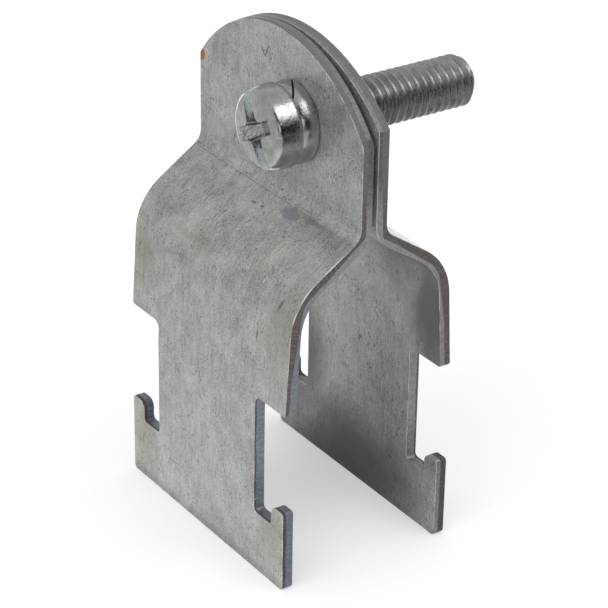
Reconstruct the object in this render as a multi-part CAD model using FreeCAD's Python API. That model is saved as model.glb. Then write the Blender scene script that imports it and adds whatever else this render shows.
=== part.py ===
import FreeCAD, Part
import math
import os

# Strut pipe clamp: two folded sheet halves that hook into a strut channel's slot
# and close round a pipe, drawn together by one machine screw with a spring washer.
# X runs along the pipe, Y along the screw from its head to its tip, Z is up.
# The origin is on the plane of the feet, half way along the strap's width,
# in the parting plane between the two ears. All sizes are in millimetres.

# Sheet and strap
sheet_t = 1.4
strap_w = 31.75
ear_gap = 0.56

# Foot, seen along Y
neck_step = 5.775
hook_w = 2.375
hook_floor_z = 7.5
hook_top_z = 9.95
shoulder_z = 22.05
foot_corner_r = 0.6
neck_corner_r = 0.9
hook_corner_r = 0.5
hook_tip_r = 1.0
hook_outer_r = 0.4
shoulder_corner_r = 0.4

# Folds, seen along X
leg_inner_span = 19.5
lean_below_crease = 20.8
leg_lean_deg = 3.4
crease_below_top = 18.5
slope_deg = 33.7
lean_bend_r = 30.0
shoulder_bend_r = 6.1
ear_bend_r = 2.0

# Ears: the back one has the flatter top
ear_top_z = 59.3
front_ear_crown = 8.1
back_ear_drop = 0.15
back_ear_crown = 6.55

# Screw
screw_x = 3.55
screw_below_top = 9.4
thread_r = 3.0
thread_pitch = 1.0
thread_depth = 0.57
groove_lip = 0.05
screw_length = 24.6
tip_chamfer = 0.9
head_base_r = 4.7
head_face_r = 4.35
head_h = 3.05
head_dome = 0.3
head_rim_h = 0.45
running_clearance = 0.08
seat_gap = 0.02

# Drive recess: a slot right across the head and a cross of two short arms
recess_turn_deg = 27.0
slot_w = 1.75
slot_depth = 1.35
cross_span = 6.0
cross_foot_span = 3.2
cross_w = 1.55
cross_foot_w = 1.0
cross_depth = 1.9
lobe_corner_r = 0.45

# Spring washer
washer_r = 4.75
washer_t = 2.16
washer_round_r = 0.65
washer_split = 0.5
washer_split_deg = 84.0
washer_split_lean_deg = 20.0

# Threaded collar drawn out of the back ear
collar_r = 4.1
collar_h = 1.6
collar_round_r = 0.4

# Places worked out from the sizes above
half_w = strap_w / 2
half_neck = half_w - neck_step
half_hook = half_w - hook_w
crease_z = ear_top_z - crease_below_top
lean_start_z = crease_z - lean_below_crease
screw_z = ear_top_z - screw_below_top
ear_outer_y = ear_gap / 2 + sheet_t
leg_outer_y = leg_inner_span / 2 + sheet_t
washer_back_y = -ear_outer_y - seat_gap
washer_front_y = washer_back_y - washer_t
head_seat_y = washer_front_y - seat_gap
head_rim_y = head_seat_y - head_rim_h
head_face_y = head_seat_y - head_h
screw_tip_y = head_seat_y + screw_length
over = 3.0

X_AXIS = FreeCAD.Vector(1, 0, 0)
Y_AXIS = FreeCAD.Vector(0, 1, 0)
Z_AXIS = FreeCAD.Vector(0, 0, 1)
screw_point = FreeCAD.Vector(screw_x, 0, screw_z)


def rounded_path(points, radii):
    """Straight edges through the points, each inner point rounded by its radius."""
    edges = []
    start = points[0]
    for before, here, after, radius in zip(points, points[1:], points[2:], radii):
        arriving = (here - before).normalize()
        leaving = (after - here).normalize()
        turn = arriving.getAngle(leaving)
        reach = radius * math.tan(turn / 2)
        arc_start = here - arriving * reach
        arc_end = here + leaving * reach
        inward = (leaving - arriving).normalize()
        to_centre = radius / math.cos(turn / 2)
        arc_middle = here + inward * (to_centre - radius)
        edges.append(Part.LineSegment(start, arc_start).toShape())
        edges.append(Part.Arc(arc_start, arc_middle, arc_end).toShape())
        start = arc_end
    edges.append(Part.LineSegment(start, points[-1]).toShape())
    return edges


def offset_corner(before, here, after, distance):
    """The corner of a line offset to its right by the distance, in the YZ plane."""
    arriving = (here - before).normalize()
    leaving = (after - here).normalize()
    side = arriving.cross(X_AXIS) + leaving.cross(X_AXIS)
    side.normalize()
    half_turn = arriving.getAngle(leaving) / 2
    return here + side * (distance / math.cos(half_turn))


def folded_section(top_z):
    """The sheet's section seen along X, from the foot up to the ear's top."""
    lean = math.radians(leg_lean_deg)
    slope = math.radians(slope_deg)
    # Where the leaning leg meets the sloping shoulder, on the outer face
    rise = crease_z - lean_start_z
    run = leg_outer_y - ear_outer_y
    climb = (rise - run * math.tan(slope)) / (1 - math.tan(lean) * math.tan(slope))
    foot = FreeCAD.Vector(0, leg_outer_y, 0)
    lean_start = FreeCAD.Vector(0, leg_outer_y, lean_start_z)
    bend_y = leg_outer_y - climb * math.tan(lean)
    shoulder = FreeCAD.Vector(0, bend_y, lean_start_z + climb)
    crease = FreeCAD.Vector(0, ear_outer_y, crease_z)
    top = FreeCAD.Vector(0, ear_outer_y, top_z)
    outer = [foot, lean_start, shoulder, crease, top]
    inner = [foot - Y_AXIS * sheet_t]
    for before, here, after in zip(outer, outer[1:], outer[2:]):
        inner.append(offset_corner(before, here, after, -sheet_t))
    inner.append(top - Y_AXIS * sheet_t)
    outer_radii = [lean_bend_r + sheet_t, shoulder_bend_r + sheet_t, ear_bend_r]
    inner_radii = [lean_bend_r, shoulder_bend_r, ear_bend_r + sheet_t]
    edges = rounded_path(outer, outer_radii) + rounded_path(inner, inner_radii)
    edges.append(Part.LineSegment(outer[0], inner[0]).toShape())
    edges.append(Part.LineSegment(outer[-1], inner[-1]).toShape())
    return Part.Face(Part.Wire(Part.sortEdges(edges)[0]))


def flat_outline(top_z, crown):
    """The half's outline seen along Y: hooked foot, neck, shoulders and ear."""
    ear_side_z = top_z - crown
    right = [
        (0, 0, None),
        (half_w, 0, foot_corner_r),
        (half_w, hook_top_z, hook_outer_r),
        (half_hook, hook_top_z, hook_tip_r),
        (half_hook, hook_floor_z, hook_corner_r),
        (half_neck, hook_floor_z, hook_corner_r),
        (half_neck, shoulder_z, neck_corner_r),
        (half_w, shoulder_z, shoulder_corner_r),
        (half_w, ear_side_z, None),
    ]
    radii = [radius for x, z, radius in right[1:-1]]
    right_side = rounded_path([FreeCAD.Vector(x, 0, z) for x, z, radius in right], radii)
    left_side = rounded_path([FreeCAD.Vector(-x, 0, z) for x, z, radius in right], radii)
    ear_right = FreeCAD.Vector(half_w, 0, ear_side_z)
    ear_left = FreeCAD.Vector(-half_w, 0, ear_side_z)
    ear_arc = Part.Arc(ear_right, FreeCAD.Vector(0, 0, top_z), ear_left).toShape()
    edges = right_side + left_side + [ear_arc]
    return Part.Face(Part.Wire(Part.sortEdges(edges)[0]))


def screw_cylinder(radius, start_y, length):
    """A cylinder on the screw's axis."""
    base = FreeCAD.Vector(screw_x, start_y, screw_z)
    return Part.makeCylinder(radius, length, base, Y_AXIS)


def blank_half(top_z, crown):
    """One folded half, on the +Y side, before its screw hole is cut."""
    section = folded_section(top_z + over)
    section.translate(FreeCAD.Vector(-half_w - over, 0, 0))
    strip = section.extrude(X_AXIS * (strap_w + 2 * over))
    outline = flat_outline(top_z, crown)
    reach = leg_outer_y + over
    return strip.common(outline.extrude(Y_AXIS * reach))


def front_half():
    """The half under the screw's head, with a plain clearance hole."""
    blank = blank_half(ear_top_z, front_ear_crown)
    half = blank.mirror(FreeCAD.Vector(0, 0, 0), Y_AXIS)
    hole = screw_cylinder(thread_r + running_clearance, -ear_outer_y - over, 2 * over)
    return half.cut(hole)


def back_half():
    """The half that the screw threads into, with a collar drawn out of its ear."""
    half = blank_half(ear_top_z - back_ear_drop, back_ear_crown)
    collar = screw_cylinder(collar_r, ear_outer_y - sheet_t / 2, sheet_t / 2 + collar_h)
    rims = []
    for edge in collar.Edges:
        if edge.CenterOfMass.y > ear_outer_y and edge.Closed:
            rims.append(edge)
    collar = collar.makeFillet(collar_round_r, rims)
    bore = screw_cylinder(thread_r + running_clearance, 0, ear_outer_y + collar_h + over)
    return half.fuse(collar).cut(bore).removeSplitter()


def turned(points_and_arcs):
    """A solid turned about the screw's axis from edges given as (radius, y)."""
    edges = []
    for step in points_and_arcs:
        vectors = [FreeCAD.Vector(screw_x + r, y, screw_z) for r, y in step]
        if len(vectors) == 2:
            edges.append(Part.LineSegment(*vectors).toShape())
        else:
            edges.append(Part.Arc(*vectors).toShape())
    face = Part.Face(Part.Wire(Part.sortEdges(edges)[0]))
    return face.revolve(screw_point, Y_AXIS, 360)


def cross_arm():
    """One tapered arm pair of the cross recess, upright, cut from the head's face."""
    floor_y = head_face_y + cross_depth
    mouth_y = head_face_y - head_dome - over
    taper = (cross_span - cross_foot_span) / cross_depth
    taper_w = (cross_w - cross_foot_w) / cross_depth
    mouth_span = cross_foot_span + taper * (floor_y - mouth_y)
    mouth_w = cross_foot_w + taper_w * (floor_y - mouth_y)
    wires = []
    for y, span, width in ((floor_y, cross_foot_span, cross_foot_w), (mouth_y, mouth_span, mouth_w)):
        corners = []
        for side_x, side_z in ((-1, -1), (1, -1), (1, 1), (-1, 1)):
            corner = FreeCAD.Vector(screw_x + side_x * width / 2, y, screw_z + side_z * span / 2)
            corners.append(corner)
        wires.append(Part.makePolygon(corners + corners[:1]))
    return Part.makeLoft(wires, True, True)


def lobe_corners(recess):
    """The edges at the head's four lobes, where the walls of the slot meet those of the level arm."""
    reach = slot_w / 2 + 0.01
    found = []
    for edge in recess.Edges:
        ends = [vertex.Point for vertex in edge.Vertexes]
        if len(ends) < 2:
            continue
        deep = abs(ends[0].y - ends[1].y)
        aside = max(abs(point.x - screw_x) for point in ends)
        upright = max(abs(point.z - screw_z) for point in ends)
        if deep > slot_depth / 2 and aside < reach and upright < cross_w:
            found.append(edge)
    return found


def drive_recess():
    """The slot and the cross together, turned as the screw stands at rest."""
    slot_length = 2 * (head_base_r + over)
    slot_start_y = head_face_y - head_dome - over
    corner = FreeCAD.Vector(screw_x - slot_w / 2, slot_start_y, screw_z - slot_length / 2)
    slot_run = slot_depth + head_dome + over
    slot = Part.makeBox(slot_w, slot_run, slot_length, corner)
    upright = cross_arm()
    level = cross_arm()
    level.rotate(screw_point, Y_AXIS, 90)
    recess = slot.fuse([upright, level]).removeSplitter()
    recess = recess.makeFillet(lobe_corner_r, lobe_corners(recess))
    recess.rotate(screw_point, Y_AXIS, -recess_turn_deg)
    return recess


def thread_groove():
    """The tapered groove that leaves the thread, wound along the shank from one pitch below the head."""
    root_half_w = thread_pitch / 12
    crest_half_w = thread_pitch * 7 / 16
    lip_half_w = crest_half_w + groove_lip * (crest_half_w - root_half_w) / thread_depth
    root_r = thread_r - thread_depth
    lip_r = thread_r + groove_lip
    corners = [
        FreeCAD.Vector(root_r, 0, -root_half_w),
        FreeCAD.Vector(lip_r, 0, -lip_half_w),
        FreeCAD.Vector(lip_r, 0, lip_half_w),
        FreeCAD.Vector(root_r, 0, root_half_w),
    ]
    section = Part.makePolygon(corners + corners[:1])
    helix = Part.Wire(Part.makeLongHelix(thread_pitch, screw_length, thread_r))
    groove = helix.makePipeShell([section], True, True)
    groove.rotate(FreeCAD.Vector(0, 0, 0), X_AXIS, -90)
    groove.translate(FreeCAD.Vector(screw_x, head_seat_y + thread_pitch, screw_z))
    return groove


def screw():
    """Round-headed screw with a recessed head and a right-hand thread."""
    flank_r = (head_base_r + head_face_r) / 2 + 0.25 * (head_base_r - head_face_r)
    flank_y = (head_rim_y + head_face_y) / 2
    dome_r = head_face_r / 2
    dome_y = head_face_y - head_dome * 0.75
    tip_r = thread_r - tip_chamfer
    body = turned([
        ((0, head_face_y - head_dome), (dome_r, dome_y), (head_face_r, head_face_y)),
        ((head_face_r, head_face_y), (flank_r, flank_y), (head_base_r, head_rim_y)),
        ((head_base_r, head_rim_y), (head_base_r, head_seat_y)),
        ((head_base_r, head_seat_y), (thread_r, head_seat_y)),
        ((thread_r, head_seat_y), (thread_r, screw_tip_y - tip_chamfer)),
        ((thread_r, screw_tip_y - tip_chamfer), (tip_r, screw_tip_y)),
        ((tip_r, screw_tip_y), (0, screw_tip_y)),
        ((0, screw_tip_y), (0, head_face_y - head_dome)),
    ])
    return body.cut([drive_recess(), thread_groove()])


def spring_washer():
    """A thick split ring with rounded outer corners."""
    ring = screw_cylinder(washer_r, washer_front_y, washer_t)
    ring = ring.makeFillet(washer_round_r, [edge for edge in ring.Edges if edge.Closed])
    bore = screw_cylinder(thread_r + running_clearance, washer_front_y - over, washer_t + 2 * over)
    corner = FreeCAD.Vector(screw_x - washer_split / 2, washer_front_y - over, screw_z)
    split = Part.makeBox(washer_split, washer_t + 2 * over, washer_r + over, corner)
    middle = FreeCAD.Vector(screw_x, washer_front_y + washer_t / 2, screw_z)
    split.rotate(middle, Z_AXIS, washer_split_lean_deg)
    split.rotate(screw_point, Y_AXIS, 90 - washer_split_deg)
    return ring.cut([bore, split])


os.makedirs("parts", exist_ok=True)
nodes = {
    "front_half": front_half(),
    "back_half": back_half(),
    "screw": screw(),
    "spring_washer": spring_washer(),
}
for name, shape in nodes.items():
    shape.exportStep("parts/" + name + ".step")
    box = shape.BoundBox
    print(name, len(shape.Solids), shape.isValid(), round(shape.Volume, 2), box)
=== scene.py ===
# %% [markdown]
# A strut pipe clamp: two folded galvanised halves, a zinc plated screw and its spring washer.
# The solids come packed, in metres, with Z up. Every piece made here lies where they lie, and
# nothing here changes a size.

# %% Load the solids
import math

import bpy
from mathutils import Matrix, Vector


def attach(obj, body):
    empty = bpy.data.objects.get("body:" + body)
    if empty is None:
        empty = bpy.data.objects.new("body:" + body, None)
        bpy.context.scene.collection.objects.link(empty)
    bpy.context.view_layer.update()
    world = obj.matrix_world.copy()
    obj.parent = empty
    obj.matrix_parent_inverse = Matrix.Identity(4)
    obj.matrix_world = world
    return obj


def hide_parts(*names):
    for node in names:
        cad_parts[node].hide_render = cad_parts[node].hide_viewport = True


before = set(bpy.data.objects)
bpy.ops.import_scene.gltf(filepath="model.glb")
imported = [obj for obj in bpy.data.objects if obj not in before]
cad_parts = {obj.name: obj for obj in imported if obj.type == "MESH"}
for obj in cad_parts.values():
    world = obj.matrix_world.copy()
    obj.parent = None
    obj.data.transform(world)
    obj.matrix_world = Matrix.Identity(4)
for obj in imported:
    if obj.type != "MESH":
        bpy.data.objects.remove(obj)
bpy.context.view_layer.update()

# %% [markdown]
# The camera stands where the photographer stood: in front of the screw's head, to the right and
# above. Its place was worked out by fitting a pinhole camera to corners of the clamp. Such a fit
# gives an azimuth, an elevation, a small roll, a distance and a focal length in pixels, and they
# are kept in that form, because a reader can check each of them against the picture.

# %% Camera
PICTURE_SIZE = 608
CAMERA_AZIMUTH = math.radians(55.03)
CAMERA_ELEVATION = math.radians(28.32)
CAMERA_ROLL = math.radians(1.16)
CAMERA_TARGET = Vector((0.00635, 0.0, 0.02368))
CAMERA_DISTANCE = 0.2811
FOCAL_PIXELS = 2526.5
OPTICAL_CENTRE = (320.1, 343.0)
SENSOR_WIDTH = 36.0


def direction(azimuth, elevation):
    """The unit vector towards an azimuth, 0 at the front and 90 at the right, in radians."""
    flat = math.cos(elevation)
    return Vector((math.sin(azimuth) * flat, -math.cos(azimuth) * flat, math.sin(elevation)))


def make_camera():
    """A camera at the photograph's viewing angle."""
    back = direction(CAMERA_AZIMUTH, CAMERA_ELEVATION)
    level = Vector((math.cos(CAMERA_AZIMUTH), math.sin(CAMERA_AZIMUTH), 0))
    upright = back.cross(level)
    right = math.cos(CAMERA_ROLL) * level + math.sin(CAMERA_ROLL) * upright
    up = back.cross(right)
    data = bpy.data.cameras.new("photo_camera")
    data.sensor_width = SENSOR_WIDTH
    data.lens = FOCAL_PIXELS / PICTURE_SIZE * SENSOR_WIDTH
    data.shift_x = (PICTURE_SIZE / 2 - OPTICAL_CENTRE[0]) / PICTURE_SIZE
    data.shift_y = (OPTICAL_CENTRE[1] - PICTURE_SIZE / 2) / PICTURE_SIZE
    data.clip_start = 0.01
    data.clip_end = 20
    camera = bpy.data.objects.new("photo_camera", data)
    turn = Matrix((right, up, back)).transposed()
    camera.matrix_world = turn.to_4x4()
    camera.location = CAMERA_TARGET + back * CAMERA_DISTANCE
    bpy.context.scene.collection.objects.link(camera)
    return camera


bpy.context.scene.camera = make_camera()
bpy.context.scene.view_settings.view_transform = "Standard"
print("camera at", tuple(round(v, 4) for v in bpy.context.scene.camera.location))

# %% [markdown]
# Materials and studio are built from shader nodes. A few small helpers keep the node code short:
# one adds a node and wires its inputs, others do arithmetic on values and on vectors, add weighted
# shares, take out one coordinate, make a noise, stretch a value between two limits, blend two
# colours or lay several over one. A socket given as an input is linked, and a number is typed in.

# %% Node helpers
def wire(tree, node, inputs):
    """Links or sets some inputs of a node."""
    for socket, value in inputs.items():
        if isinstance(value, bpy.types.NodeSocket):
            tree.links.new(value, node.inputs[socket])
        else:
            node.inputs[socket].default_value = value


def add_node(tree, kind, inputs=None, **settings):
    """A node with its settings made and its inputs linked or set."""
    made = tree.nodes.new(kind)
    for name, value in settings.items():
        setattr(made, name, value)
    wire(tree, made, inputs or {})
    return made


def arithmetic(tree, operation, first, second=0.0, clamp=False):
    """The result of one sum on two values."""
    step = add_node(tree, "ShaderNodeMath", {0: first, 1: second}, operation=operation)
    step.use_clamp = clamp
    return step.outputs[0]


def times(tree, first, second):
    """The product of two values."""
    return arithmetic(tree, "MULTIPLY", first, second)


def add_shares(tree, total, *parts):
    """The total with a share of each part added to it, given as (part, weight)."""
    for part, weight in parts:
        total = arithmetic(tree, "ADD", total, times(tree, part, weight))
    return total


def strongest(tree, values):
    """The largest of several values."""
    total, *others = values
    for value in others:
        total = arithmetic(tree, "MAXIMUM", total, value)
    return total


def vector_sum(tree, operation, first, second=(0, 0, 0)):
    """The result of one step on vectors: a value for a length or a dot product."""
    step = add_node(tree, "ShaderNodeVectorMath", {0: first, 1: second}, operation=operation)
    return step.outputs["Value" if operation in ("LENGTH", "DOT_PRODUCT") else "Vector"]


def coordinate(tree, place, axis):
    """One coordinate of a place, by its number."""
    return add_node(tree, "ShaderNodeSeparateXYZ", {0: place}).outputs[axis]


def noise(tree, place, scale, detail, **more):
    """A noise at a place, with its other inputs by name."""
    inputs = {"Vector": place, "Scale": scale, "Detail": detail, **more}
    return add_node(tree, "ShaderNodeTexNoise", inputs).outputs[0]


def stretch(tree, value, low, high, to_low=0.0, to_high=1.0):
    """The value taken smoothly from one range to another, and held at its ends."""
    inputs = {"Value": value, "From Min": low, "From Max": high, "To Min": to_low, "To Max": to_high}
    step = add_node(tree, "ShaderNodeMapRange", inputs, interpolation_type="SMOOTHSTEP")
    return step.outputs["Result"]


def blend(tree, factor, first, second, way="MIX"):
    """Two colours blended by a factor from 0 to 1."""
    step = add_node(tree, "ShaderNodeMix", {0: factor, 6: first, 7: second}, data_type="RGBA")
    step.blend_type = way
    return step.outputs[2]


def lay_over(tree, colour, layers):
    """A colour with others laid over it in turn, each given as (where, how strongly, colour)."""
    for where, strength, over in layers:
        colour = blend(tree, times(tree, where, strength), colour, over)
    return colour


def bump(tree, height, strength, distance):
    """A surface direction that follows a height."""
    inputs = {"Height": height, "Strength": strength, "Distance": distance}
    return add_node(tree, "ShaderNodeBump", inputs).outputs[0]


def grey(value):
    """A neutral grey in linear light."""
    return (value, value, value, 1)


def new_paint(name):
    """A new material, its shader tree and its main shader."""
    paint = bpy.data.materials.new(name)
    paint.use_nodes = True
    return paint, paint.node_tree, paint.node_tree.nodes["Principled BSDF"]


# %% [markdown]
# The studio. The clamp stands on a pale floor in front of white. Bare metal shows little colour
# of its own: it shows its surroundings, so these decide how it looks. The white comes from the
# world and is seen by the camera and in reflections, while a dimmer grey world does the soft
# lighting. The floor is pale and keeps the shadow.

# %% Floor and world
FLOOR_SIZE = 4.0
FLOOR_TONE = 0.8
FLOOR_SEEN_TONE = 0.75
FLOOR_GLOW = 0.34
AMBIENT_TONE = 0.8


def seen_or_mirrored(tree):
    """1 for what the camera sees directly, in a mirror or through glass, and 0 for soft light."""
    path = add_node(tree, "ShaderNodeLightPath")
    rays = ("Is Camera Ray", "Is Glossy Ray", "Is Transmission Ray")
    return strongest(tree, [path.outputs[ray] for ray in rays])


world = bpy.data.worlds.new("studio")
world.use_nodes = True
bpy.context.scene.world = world
background = world.node_tree.nodes["Background"]
white_part = seen_or_mirrored(world.node_tree)
tone = blend(world.node_tree, white_part, grey(AMBIENT_TONE), grey(1.0))
world.node_tree.links.new(tone, background.inputs["Color"])

bpy.ops.mesh.primitive_plane_add(size=FLOOR_SIZE)
floor = bpy.context.object
floor.name = "floor"
floor_paint, floor_tree, floor_shader = new_paint("pale_floor")
floor_seen = add_node(floor_tree, "ShaderNodeLightPath").outputs["Is Camera Ray"]
floor_finish = {
    "Base Color": blend(floor_tree, floor_seen, grey(FLOOR_TONE), grey(FLOOR_SEEN_TONE)),
    "Roughness": 0.9,
    "Specular IOR Level": 0.1,
    "Emission Color": grey(1.0),
    "Emission Strength": arithmetic(floor_tree, "MULTIPLY", floor_seen, FLOOR_GLOW),
}
wire(floor_tree, floor_shader, floor_finish)
floor.data.materials.append(floor_paint)
print("floor of", FLOOR_SIZE, "m")

# %% [markdown]
# Lamps. One square softbox stands behind the clamp to the right and high up: it makes the bright
# patches on the screw's head and on the washer. A large one in front fills the faces, and is kept
# out of the reflections.

# %% Lamps
LAMP_AIM = Vector((0.0, 0.0, 0.035))


def softbox(name, azimuth, elevation, distance, size, brightness, mirrored):
    """A square lamp whose face is so many times as bright as white paper."""
    data = bpy.data.lights.new(name, "AREA")
    data.shape = "SQUARE"
    data.size = size
    data.energy = brightness * math.pi * size * size
    lamp = bpy.data.objects.new(name, data)
    lamp.visible_camera = False
    lamp.visible_glossy = mirrored
    bpy.context.scene.collection.objects.link(lamp)
    towards = direction(math.radians(azimuth), math.radians(elevation))
    lamp.location = LAMP_AIM + towards * distance
    lamp.rotation_euler = towards.to_track_quat("Z", "Y").to_euler()


softbox("key_softbox", 124, 57, 0.5, 0.2, 1.8, True)
softbox("fill_softbox", 15, 43, 0.8, 0.6, 1.5, False)

# %% [markdown]
# An all-white room leaves shiny metal without shape, so photographers hang a pale grey tent round
# it, with black cloth where they want a dark line. The tent here is a dome that only reflections
# show: it throws no shadow and takes away no light. Low on the right it is black, which draws the
# dark bands on the screw, and a smaller black patch hangs a little above the camera. Two white
# cards are held up in it: one lights the drive recess and the other the washer. Three sheets of
# paper on the table give the reflections of the table.

# %% Tent and table
TENT_RADIUS = 0.85
TENT_TONE = 0.6
BLACK_TONE = 0.02
NEAR_EDGE = 0.02
BLACK_AZIMUTH = math.radians(85)
BLACK_TOP = (0.42, 0.58)
BLACK_FOOT = (-0.25, -0.15)
BLACK_SIDES = (0.5, 0.62)
SHADE_TOWARDS = direction(math.radians(60), math.radians(38))
SHADE_RIM = (0.86, 0.94)
PAPER_HEIGHT = 0.0004
CARDS = ((57, 19, 0.965, 0.982, 1.1), (95, 56, 0.93, 0.965, 1.5))


def reflections_only(thing):
    """Shows a thing in reflections and nowhere else."""
    thing.visible_camera = False
    thing.visible_diffuse = False
    thing.visible_shadow = False
    thing.visible_transmission = False
    thing.visible_volume_scatter = False


def plain_glow(name, tone):
    """A material that shows one tone whatever the light, and its shader tree."""
    paint, tree, unused_shader = new_paint(name)
    tree.nodes.remove(unused_shader)
    glow = add_node(tree, "ShaderNodeEmission", {"Color": tone, "Strength": 1.0})
    tree.links.new(glow.outputs[0], tree.nodes["Material Output"].inputs["Surface"])
    return paint, tree, glow


def facing_share(tree, unit, towards):
    """The cosine of the angle between a direction and a fixed one."""
    return vector_sum(tree, "DOT_PRODUCT", unit, tuple(towards))


def make_tent():
    """A grey dome with a black patch low on the right and white cards in front of it."""
    bpy.ops.mesh.primitive_uv_sphere_add(segments=48, ring_count=24, radius=TENT_RADIUS)
    tent = bpy.context.object
    tent.name = "tent"
    paint, tree, glow = plain_glow("tent_cloth", grey(TENT_TONE))
    spot = add_node(tree, "ShaderNodeTexCoord").outputs["Object"]
    unit = vector_sum(tree, "NORMALIZE", spot)
    height = coordinate(tree, unit, 2)
    below_top = stretch(tree, height, *BLACK_TOP, 1.0, 0.0)
    low = times(tree, below_top, stretch(tree, height, *BLACK_FOOT))
    facing = facing_share(tree, unit, direction(BLACK_AZIMUTH, 0))
    black = times(tree, low, stretch(tree, facing, *BLACK_SIDES))
    shade = stretch(tree, facing_share(tree, unit, SHADE_TOWARDS), *SHADE_RIM)
    black = arithmetic(tree, "MAXIMUM", black, shade)
    cloth = blend(tree, black, grey(TENT_TONE), grey(BLACK_TONE))
    for azimuth, elevation, rim, full, card_tone in CARDS:
        towards = direction(math.radians(azimuth), math.radians(elevation))
        card = stretch(tree, facing_share(tree, unit, towards), rim, full)
        cloth = blend(tree, card, cloth, grey(card_tone))
    tree.links.new(cloth, glow.inputs["Color"])
    tent.data.materials.append(paint)
    reflections_only(tent)


def table_paper(name, x_range, y_range, near_tone, far_tone, far_edge):
    """A flat sheet just above the floor, of one tone beside the clamp and another far from it."""
    bpy.ops.mesh.primitive_plane_add(size=1)
    paper = bpy.context.object
    paper.name = name
    paper.scale = (x_range[1] - x_range[0], y_range[1] - y_range[0], 1)
    paper.location = (sum(x_range) / 2, sum(y_range) / 2, PAPER_HEIGHT)
    paint, tree, glow = plain_glow(name, grey(near_tone))
    spot = add_node(tree, "ShaderNodeNewGeometry").outputs["Position"]
    away = vector_sum(tree, "LENGTH", spot)
    far = stretch(tree, away, NEAR_EDGE, far_edge)
    tree.links.new(blend(tree, far, grey(near_tone), grey(far_tone)), glow.inputs["Color"])
    paper.data.materials.append(paint)
    reflections_only(paper)


make_tent()
table_paper("paper_front", (-0.6, 0.6), (-0.6, -0.0118), 0.95, 0.62, 0.1)
table_paper("paper_left", (-0.6, -0.0175), (-0.0118, 0.6), 0.7, 2.2, 0.1)
table_paper("paper_right", (0.0175, 0.6), (-0.0118, 0.6), 0.55, 0.06, 0.16)
print("tent of radius", TENT_RADIUS, "m")

# %% [markdown]
# Finishes are made of effects that more than one material shares, so each effect is a node group.
# Rolled sheet carries a grain: fine marks drawn out along the strip by the mill. It is noise on
# coordinates that are squeezed across the strip and drawn out along it, in marks per millimetre.

# %% Group: rolled grain
def start_group(name, inputs, outputs):
    """An empty node group with its sockets, its input side and its output side."""
    tree = bpy.data.node_groups.new(name, "ShaderNodeTree")
    for socket_name, kind, value in inputs:
        socket = tree.interface.new_socket(name=socket_name, in_out="INPUT", socket_type=kind)
        socket.default_value = value
    for socket_name, kind in outputs:
        tree.interface.new_socket(name=socket_name, in_out="OUTPUT", socket_type=kind)
    entry = tree.nodes.new("NodeGroupInput")
    result = tree.nodes.new("NodeGroupOutput")
    return tree, entry.outputs, result.inputs


def use_group(tree, group, **inputs):
    """What a group gives in a material, with its inputs linked or set."""
    named = {name.replace("_", " "): value for name, value in inputs.items()}
    return add_node(tree, "ShaderNodeGroup", named, node_tree=group).outputs[0]


def turn_flat(tree, place, angle):
    """A place turned in the plane of the sheet."""
    inputs = {"Vector": place, "Angle": angle}
    return add_node(tree, "ShaderNodeVectorRotate", inputs, rotation_type="Z_AXIS").outputs[0]


NUMBER = "NodeSocketFloat"
PLACE = "NodeSocketVector"


def make_grain_group():
    """Fine marks drawn out along the strip."""
    inputs = [("Place", PLACE, (0, 0, 0)), ("Across", NUMBER, 5.0), ("Along", NUMBER, 0.3)]
    tree, given, result = start_group("rolled_grain", inputs, [("Grain", NUMBER)])
    scale = add_node(tree, "ShaderNodeCombineXYZ", {0: given["Across"], 1: given["Along"], 2: 3.0})
    squeezed = vector_sum(tree, "MULTIPLY", given["Place"], scale.outputs[0])
    grain = noise(tree, squeezed, 1.0, 3.0, Roughness=0.65)
    tree.links.new(stretch(tree, grain, 0.3, 0.7), result["Grain"])
    return tree


grain_group = make_grain_group()
print("group:", grain_group.name)

# %% [markdown]
# Handling leaves dark specks in the zinc and cloudy smudges on it. Specks are the highest peaks
# of a small noise, thinned out by a larger one so that they come in clusters. Smudges are a large
# soft noise. Both take a size in millimetres.

# %% Groups: specks and smudges
def make_speck_group():
    """Small dark flecks in loose clusters."""
    inputs = [("Place", PLACE, (0, 0, 0)), ("Size", NUMBER, 0.3), ("Amount", NUMBER, 0.5)]
    tree, given, result = start_group("dirt_specks", inputs, [("Specks", NUMBER)])
    per_mm = arithmetic(tree, "DIVIDE", 1.0, given["Size"])
    longer = vector_sum(tree, "MULTIPLY", given["Place"], (1.0, 0.4, 1.0))
    fine = noise(tree, longer, per_mm, 2.5, Roughness=0.6)
    broad = noise(tree, given["Place"], 0.35, 3.0)
    cluster = stretch(tree, broad, 0.3, 0.7, 0.12, -0.02)
    amount = times(tree, given["Amount"], 0.1)
    level = arithmetic(tree, "SUBTRACT", arithmetic(tree, "ADD", 0.66, cluster), amount)
    over = arithmetic(tree, "SUBTRACT", fine, level)
    specks = stretch(tree, over, 0.0, 0.045)
    tree.links.new(specks, result["Specks"])
    return tree


def make_smudge_group():
    """Cloudy patches, from 0 to 1 round a half."""
    inputs = [("Place", PLACE, (0, 0, 0)), ("Size", NUMBER, 8.0)]
    tree, given, result = start_group("smudges", inputs, [("Cloud", NUMBER)])
    per_mm = arithmetic(tree, "DIVIDE", 1.0, given["Size"])
    cloud = noise(tree, given["Place"], per_mm, 5.0, Roughness=0.6, Distortion=0.4)
    tree.links.new(stretch(tree, cloud, 0.3, 0.7), result["Cloud"])
    return tree


speck_group = make_speck_group()
smudge_group = make_smudge_group()
print("groups:", speck_group.name, smudge_group.name)

# %% [markdown]
# Hair scratches run in any direction. A contour line of a drawn-out noise is long, thin and a
# little bent, as a scratch is, and a second noise breaks it up. The angle is set where it is used.

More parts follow.
